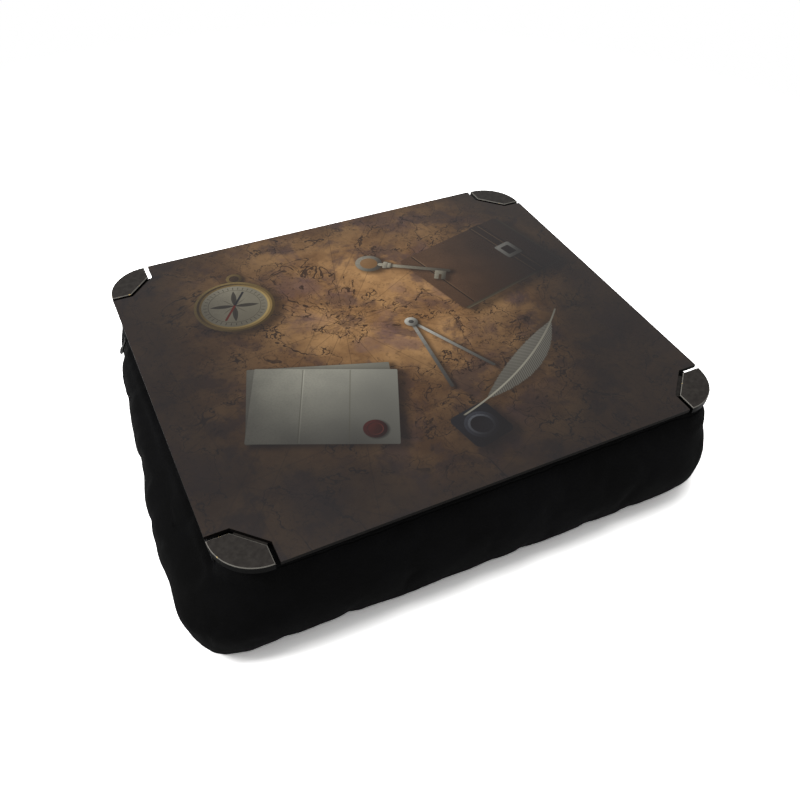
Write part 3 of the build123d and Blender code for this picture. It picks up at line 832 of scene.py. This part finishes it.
hook_material, tree = new_material("moulded_nylon_hook_tape")
place_on_hooks = add_node(tree, "ShaderNodeTexCoord").outputs["Object"]
ground = add_node(tree, "ShaderNodeTexNoise", {"Vector": place_on_hooks, "Scale": 900, "Detail": 3})
hook_tone = add_node(tree, "ShaderNodeValToRGB", {"Fac": ground.outputs["Fac"]})
set_stops(hook_tone, ("#101011", 0.0), ("#232325", 1.0))
ground_depth = {"Height": ground.outputs["Fac"], "Strength": 0.4, "Distance": 0.2 * MM}
hook_bump = add_node(tree, "ShaderNodeBump", ground_depth)
hook_shader = add_node(
    tree,
    "ShaderNodeBsdfPrincipled",
    {
        "Base Color": hook_tone.outputs[0],
        "Roughness": 0.55,
        "Specular IOR Level": 0.25,
        "Normal": hook_bump.outputs[0],
    },
)
add_node(tree, "ShaderNodeOutputMaterial", {"Surface": hook_shader.outputs[0]})


def mesh_piece(name, shape, material, body):
    """Makes an object of a bmesh, with one material, that rides on a body."""
    mesh = bpy.data.meshes.new(name)
    bmesh.ops.recalc_face_normals(shape, faces=shape.faces)
    shape.to_mesh(mesh)
    shape.free()
    mesh.materials.append(material)
    piece = bpy.data.objects.new(name, mesh)
    scene.collection.objects.link(piece)
    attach(piece, body)
    return piece


def box_between(shape, low, high):
    """Adds a box between two corners to a bmesh, and returns its points."""
    size = Vector(high) - Vector(low)
    middle = (Vector(high) + Vector(low)) / 2
    place = Matrix.Translation(middle) @ Matrix.Diagonal((*size, 1))
    return bmesh.ops.create_cube(shape, size=1, matrix=place)["verts"]


def rounded(shape, width, segments=2, edges=None):
    """Bevels a bmesh's sharp edges."""
    bmesh.ops.bevel(
        shape,
        geom=edges if edges is not None else shape.edges[:],
        offset=width,
        segments=segments,
        profile=0.5,
        affect="EDGES",
        material=-1,
        clamp_overlap=True,
    )


hook_pitch = 2.4 * MM  # real hooks stand about 1.5 mm apart, drawn coarser so that they show
first_hook = 1.6 * MM
hook_thickness = 0.35 * MM
hook_width = 0.6 * MM
hook_lean = 0.35 * MM
tape_thickness = 0.6 * MM
for corner in corners:
    low, high = (Vector(point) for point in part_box("hook_pad_" + corner))
    tape_floor = high.z - tape_thickness
    hooks = bmesh.new()
    columns = int((high.x - low.x - 2 * MM) / hook_pitch)
    rows = int((high.y - low.y - 2 * MM) / hook_pitch)
    for column in range(columns):
        for row in range(rows):
            x = low.x + first_hook + column * hook_pitch
            y = low.y + first_hook + row * hook_pitch
            lean = hook_lean if row % 2 else -hook_lean
            stem = box_between(hooks, (x, y, low.z), (x + hook_thickness, y + hook_width, tape_floor))
            tips = [vertex for vertex in stem if vertex.co.z < low.z + 0.1 * MM]
            bmesh.ops.translate(hooks, vec=(0, lean, 0), verts=tips)
    backing = box_between(hooks, (low.x, low.y, tape_floor), tuple(high))
    backing_edges = list({edge for vertex in backing for edge in vertex.link_edges})
    rounded(hooks, 0.3 * MM, edges=backing_edges)
    hook_pad = mesh_piece("hooks_" + corner, hooks, hook_material, "tray")
    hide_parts("hook_pad_" + corner)

    low, high = (Vector(point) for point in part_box("loop_pad_" + corner))
    shape = bmesh.new()
    box_between(shape, tuple(low), (high.x, high.y, high.z - 0.3 * MM))
    bmesh.ops.subdivide_edges(shape, edges=shape.edges[:], cuts=30, use_grid_fill=True)
    for vertex in shape.verts:
        if vertex.co.z > high.z - 0.35 * MM:
            fuzz = noise.noise(vertex.co * 900) * 0.5 + 0.5
            off_ends = min(vertex.co.x - low.x, high.x - vertex.co.x)
            off_edge = min(off_ends, vertex.co.y - low.y, high.y - vertex.co.y)
            vertex.co.z += (fuzz * 0.3 - fade(off_edge, 0.0, 1.5 * MM) * 0.5) * MM
    loop_pad = mesh_piece("loops_" + corner, shape, loop_material, "cushion")
    loop_pad.data.shade_smooth()
    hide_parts("loop_pad_" + corner)


# Screws: zinc-plated steel self-tapping screws with a cross recess, one under each corner piece's tongue.
# The plating is pale and faintly mottled, so that the heads shine unevenly.

screw_material, tree = new_material("zinc_plated_steel")
plating = add_node(
    tree,
    "ShaderNodeTexNoise",
    {"Vector": add_node(tree, "ShaderNodeTexCoord").outputs["Object"], "Scale": 1200, "Detail": 3},
)
plating_tone = add_node(tree, "ShaderNodeValToRGB", {"Fac": plating.outputs["Fac"]})
set_stops(plating_tone, ("#8f9193", 0.0), ("#b9bbbd", 1.0))
plating_gloss = {"Value": plating.outputs["Fac"], "To Min": 0.25, "To Max": 0.45}
plating_roughness = add_node(tree, "ShaderNodeMapRange", plating_gloss)
screw_shader = add_node(
    tree,
    "ShaderNodeBsdfPrincipled",
    {"Base Color": plating_tone.outputs[0], "Metallic": 1.0, "Roughness": plating_roughness.outputs[0]},
)
add_node(tree, "ShaderNodeOutputMaterial", {"Surface": screw_shader.outputs[0]})

screws_low, screws_high = (Vector(corner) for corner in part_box("corner_screws"))
head_radius = 2.6 * MM
shank_radius = 1.5 * MM
head_height = 1.2 * MM
recess_half = 1.5 * MM
bar_half = 0.28 * MM
recess_depth = 0.8 * MM
screw_places = [
    (x, y)
    for x in (screws_low.x + head_radius, screws_high.x - head_radius)
    for y in (screws_low.y + head_radius, screws_high.y - head_radius)
]
screws = bmesh.new()
for x, y in screw_places:
    place = Matrix.Translation((x, y, screws_low.z))
    head = bmesh.ops.create_circle(screws, cap_ends=True, radius=head_radius, segments=32, matrix=place)
    face = head["verts"][0].link_faces[0]
    raised = bmesh.ops.extrude_face_region(screws, geom=[face])
    top = [part for part in raised["geom"] if isinstance(part, bmesh.types.BMVert)]
    bmesh.ops.translate(screws, vec=(0, 0, head_height), verts=top)
    shank_place = Matrix.Translation((x, y, (screws_low.z + head_height + screws_high.z) / 2))
    bmesh.ops.create_cone(
        screws,
        cap_ends=True,
        segments=24,
        radius1=shank_radius,
        radius2=shank_radius * 0.75,
        depth=screws_high.z - screws_low.z - head_height,
        matrix=shank_place,
    )
screw_piece = mesh_piece("tray_screws", screws, screw_material, "tray")

# The cross recess in each head is cut by two crossed bars.
cutters = bmesh.new()
for x, y in screw_places:
    for half_x, half_y in ((recess_half, bar_half), (bar_half, recess_half)):
        low = (x - half_x, y - half_y, screws_low.z - 1 * MM)
        high = (x + half_x, y + half_y, screws_low.z + recess_depth)
        box_between(cutters, low, high)
cutter_mesh = bpy.data.meshes.new("recess_cutter")
cutters.to_mesh(cutter_mesh)
cutters.free()
cutter = bpy.data.objects.new("recess_cutter", cutter_mesh)
scene.collection.objects.link(cutter)
recess = screw_piece.modifiers.new("cross_recess", "BOOLEAN")
recess.operation = "DIFFERENCE"
recess.solver = "EXACT"
recess.use_self = True
recess.object = cutter
recessed = finished_mesh(screw_piece)
screw_piece.modifiers.clear()
screw_piece.data = recessed
bpy.data.objects.remove(cutter)
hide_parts("corner_screws")


# Zip surround: the cover's cloth, folded under all round the zip's opening and sewn down with two rows of
# stitches. It is the same woven polyester as the cover, and stands a little proud of it.

window_half = 4.3 * MM
fold_width = 5.6 * MM
fold_thickness = 1.1 * MM
zip_near = zip_low.y
zip_far = zip_high.y

shape = bmesh.new()
frame_middle = ((zip_near + zip_far) / 2, zip_height)
half_span = (zip_far - zip_near) / 2 + 1.0 * MM
place = Matrix.Translation((band_face + 0.2 * MM, *frame_middle)) @ Matrix.Rotation(math.radians(-90), 4, "Y")
bmesh.ops.create_grid(shape, x_segments=1, y_segments=1, size=1)
bmesh.ops.scale(shape, vec=(window_half + fold_width, half_span + fold_width, 1), verts=shape.verts)
bmesh.ops.inset_region(
    shape, faces=shape.faces[:], thickness=fold_width, use_even_offset=True, use_boundary=True
)
middle_face = min(shape.faces, key=lambda face: face.calc_center_median().length)
bmesh.ops.delete(shape, geom=[middle_face], context="FACES")
bmesh.ops.subdivide_edges(shape, edges=shape.edges[:], cuts=3, use_grid_fill=True)
walls = bmesh.ops.extrude_face_region(shape, geom=shape.faces[:])
raised = [part for part in walls["geom"] if isinstance(part, bmesh.types.BMVert)]
bmesh.ops.translate(shape, vec=(0, 0, fold_thickness), verts=raised)
bmesh.ops.transform(shape, matrix=place, verts=shape.verts)
surround = mesh_piece("zip_surround", shape, cloth_material, "cushion")
lay_weave(surround.data)
soften = surround.modifiers.new("folded_edge", "BEVEL")
soften.width = 0.45 * MM
soften.segments = 3
soften.limit_method = "ANGLE"
surround.data.shade_smooth()

# Sewing thread: bonded polyester, slightly glossier than the cloth, in 3 mm stitches.
thread_material, tree = new_material("bonded_polyester_thread")
twist = add_node(
    tree,
    "ShaderNodeTexWave",
    {"Vector": add_node(tree, "ShaderNodeTexCoord").outputs["Object"], "Scale": 900, "Distortion": 1.0},
    bands_direction="DIAGONAL",
)
thread_tone = add_node(tree, "ShaderNodeValToRGB", {"Fac": twist.outputs["Fac"]})
set_stops(thread_tone, ("#0f0f10", 0.0), ("#1e1e20", 1.0))
thread_bump = add_node(
    tree, "ShaderNodeBump", {"Height": twist.outputs["Fac"], "Strength": 0.3, "Distance": 0.1 * MM}
)
thread_shader = add_node(
    tree,
    "ShaderNodeBsdfPrincipled",
    {
        "Base Color": thread_tone.outputs[0],
        "Roughness": 0.5,
        "Specular IOR Level": 0.2,
        "Normal": thread_bump.outputs[0],
    },
)
add_node(tree, "ShaderNodeOutputMaterial", {"Surface": thread_shader.outputs[0]})

stitch_length = 2.9 * MM
stitch_pitch = 3.6 * MM
stitch_width = 0.5 * MM
stitches = bmesh.new()
seam_x = band_face + 0.2 * MM - fold_thickness
for row in (window_half + 1.5 * MM, window_half + 4.2 * MM):
    for side in (-1, 1):
        stitch_count = int((zip_far - zip_near) / stitch_pitch)
        for i in range(stitch_count):
            y = zip_near + (i + 0.5) * stitch_pitch
            z = zip_height + side * row
            low = (seam_x - 0.25 * MM, y - stitch_length / 2, z - stitch_width / 2)
            high = (seam_x + 0.25 * MM, y + stitch_length / 2, z + stitch_width / 2)
            box_between(stitches, low, high)
rounded(stitches, 0.16 * MM, segments=1)
zip_stitches = mesh_piece("zip_stitches", stitches, thread_material, "cushion")
zip_stitches.data.shade_smooth()


# Zip tapes: woven polyester tape with a fine herringbone, sewn behind the folded edges.
# The weave leaves them dull, with slanting ribs a little under a millimetre apart.

tape_material, tree = new_material("woven_black_zip_tape")
place_on_tape = add_node(tree, "ShaderNodeTexCoord").outputs["Object"]
tape_weave = {"Vector": place_on_tape, "Scale": 420, "Distortion": 0.4}
herringbone = add_node(tree, "ShaderNodeTexWave", tape_weave, bands_direction="DIAGONAL")
tape_tone = add_node(tree, "ShaderNodeValToRGB", {"Fac": herringbone.outputs["Fac"]})
set_stops(tape_tone, ("#0b0b0c", 0.0), ("#171719", 1.0))
tape_bump = add_node(
    tree, "ShaderNodeBump", {"Height": herringbone.outputs["Fac"], "Strength": 0.4, "Distance": 0.15 * MM}
)
tape_shader = add_node(
    tree,
    "ShaderNodeBsdfPrincipled",
    {
        "Base Color": tape_tone.outputs[0],
        "Roughness": 0.75,
        "Specular IOR Level": 0.12,
        "Normal": tape_bump.outputs[0],
    },
)
add_node(tree, "ShaderNodeOutputMaterial", {"Surface": tape_shader.outputs[0]})
for name in ("zip_tape_upper", "zip_tape_lower"):
    give_material(nodes[name], tape_material)


# Zip chain: two rows of nylon coil teeth on a cord, sewn along the edges of the tapes.
# The upper teeth stand half a pitch on from the lower ones, as they interlock.

teeth_material, tree = new_material("extruded_black_nylon_coil")
nylon = add_node(
    tree,
    "ShaderNodeTexNoise",
    {"Vector": add_node(tree, "ShaderNodeTexCoord").outputs["Object"], "Scale": 700, "Detail": 2},
)
nylon_tone = add_node(tree, "ShaderNodeValToRGB", {"Fac": nylon.outputs["Fac"]})
set_stops(nylon_tone, ("#111112", 0.0), ("#222224", 1.0))
nylon_gloss = {"Value": nylon.outputs["Fac"], "To Min": 0.3, "To Max": 0.5}
nylon_roughness = add_node(tree, "ShaderNodeMapRange", nylon_gloss)
teeth_shader = add_node(
    tree,
    "ShaderNodeBsdfPrincipled",
    {"Base Color": nylon_tone.outputs[0], "Roughness": nylon_roughness.outputs[0], "Specular IOR Level": 0.3},
)
add_node(tree, "ShaderNodeOutputMaterial", {"Surface": teeth_shader.outputs[0]})

tooth_pitch = 1.5 * MM
tooth_width = 0.9 * MM
tooth_depth = 1.1 * MM
tooth_overlap = 0.15 * MM
for name, side in (("upper", 1), ("lower", -1)):
    chain_low, chain_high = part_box("zip_chain_" + name)
    slit_side = chain_low[2] if side > 0 else chain_high[2]
    tape_side = chain_high[2] if side > 0 else chain_low[2]
    teeth = bmesh.new()
    tooth_count = int((chain_high[1] - chain_low[1]) / tooth_pitch) - 1
    for i in range(tooth_count):
        y = chain_low[1] + (i + (0.9 if side > 0 else 0.4)) * tooth_pitch
        tooth_end = slit_side - side * tooth_overlap
        low = (chain_low[0], y, min(tooth_end, tape_side))
        high = (chain_low[0] + tooth_depth, y + tooth_width, max(tooth_end, tape_side))
        box_between(teeth, low, high)
    rounded(teeth, 0.28 * MM, segments=1)
    cord_low = (chain_low[0] + 0.5 * MM, chain_low[1], chain_low[2] + 0.3 * MM)
    cord_high = (chain_high[0], chain_high[1], chain_high[2] - 0.3 * MM)
    box_between(teeth, cord_low, cord_high)
    coil = mesh_piece("zip_teeth_" + name, teeth, teeth_material, "cushion")
    coil.data.shade_smooth()
    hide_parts("zip_chain_" + name)


# Zip slider, pull and stops: zinc die castings and pressed brass, with a black painted finish.
# The paint is satin, with a few grey spots where it has rubbed through.

zip_metal, tree = new_material("black_painted_die_cast_zinc")
paint_coordinates = add_node(tree, "ShaderNodeTexCoord").outputs["Object"]
orange_peel = add_node(tree, "ShaderNodeTexNoise", {"Vector": paint_coordinates, "Scale": 1500, "Detail": 2})
rubbed_size = {"Vector": paint_coordinates, "Scale": 380, "Detail": 4, "Roughness": 0.7}
rubbed = add_node(tree, "ShaderNodeTexNoise", rubbed_size)
metal_colour = lay_ink(linear("#080808"), linear("#55534f"), rubbed.outputs["Fac"], 0.74, 0.66, 0.8)
paint_bump = add_node(
    tree, "ShaderNodeBump", {"Height": orange_peel.outputs["Fac"], "Strength": 0.15, "Distance": 0.05 * MM}
)
metal_gloss = {"Value": rubbed.outputs["Fac"], "To Min": 0.25, "To Max": 0.5}
metal_roughness = add_node(tree, "ShaderNodeMapRange", metal_gloss)
metal_shader = add_node(
    tree,
    "ShaderNodeBsdfPrincipled",
    {
        "Base Color": metal_colour,
        "Roughness": metal_roughness.outputs[0],
        "Specular IOR Level": 0.14,
        "Normal": paint_bump.outputs[0],
    },
)
add_node(tree, "ShaderNodeOutputMaterial", {"Surface": metal_shader.outputs[0]})
for name in ("zip_slider", "zip_pull", "zip_stops"):
    give_material(nodes[name], zip_metal)
    joined = nodes[name].modifiers.new("joined", "WELD")
    joined.merge_threshold = 0.01 * MM
    cast_edge = nodes[name].modifiers.new("cast_edge", "BEVEL")
    cast_edge.width = 0.15 * MM
    cast_edge.segments = 2
    cast_edge.limit_method = "ANGLE"
    cast_edge.angle_limit = math.radians(40)
